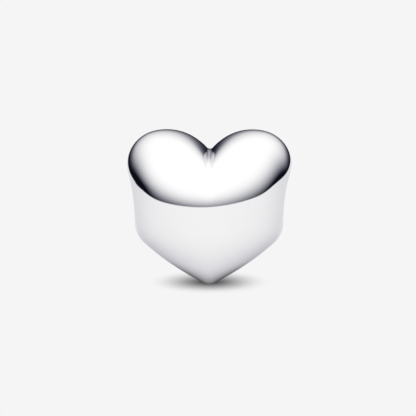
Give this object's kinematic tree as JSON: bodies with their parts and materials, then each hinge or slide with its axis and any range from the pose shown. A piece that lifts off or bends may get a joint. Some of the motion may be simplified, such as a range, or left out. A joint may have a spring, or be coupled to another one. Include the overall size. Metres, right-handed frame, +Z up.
{
  "type": "heart charm bead",
  "caption": "Solid puffed heart charm in polished silver, with a thread hole from side to side so that it slides onto a charm bracelet.",
  "frame": {"origin": "middle of the thread hole, on its axis, halfway between the two sides and halfway between front and back", "axes": "+X along the thread hole towards the right-hand side seen from the front, -Y towards the front, +Z up towards the lobes"},
  "size_m": [0.0118, 0.0088, 0.0111],
  "materials": {
    "polished_silver": "mirror-polished sterling silver, smooth all over, with a bright bore"
  },
  "bodies": {
    "root": {"heart_charm": "polished_silver"}
  },
  "joints": []
}
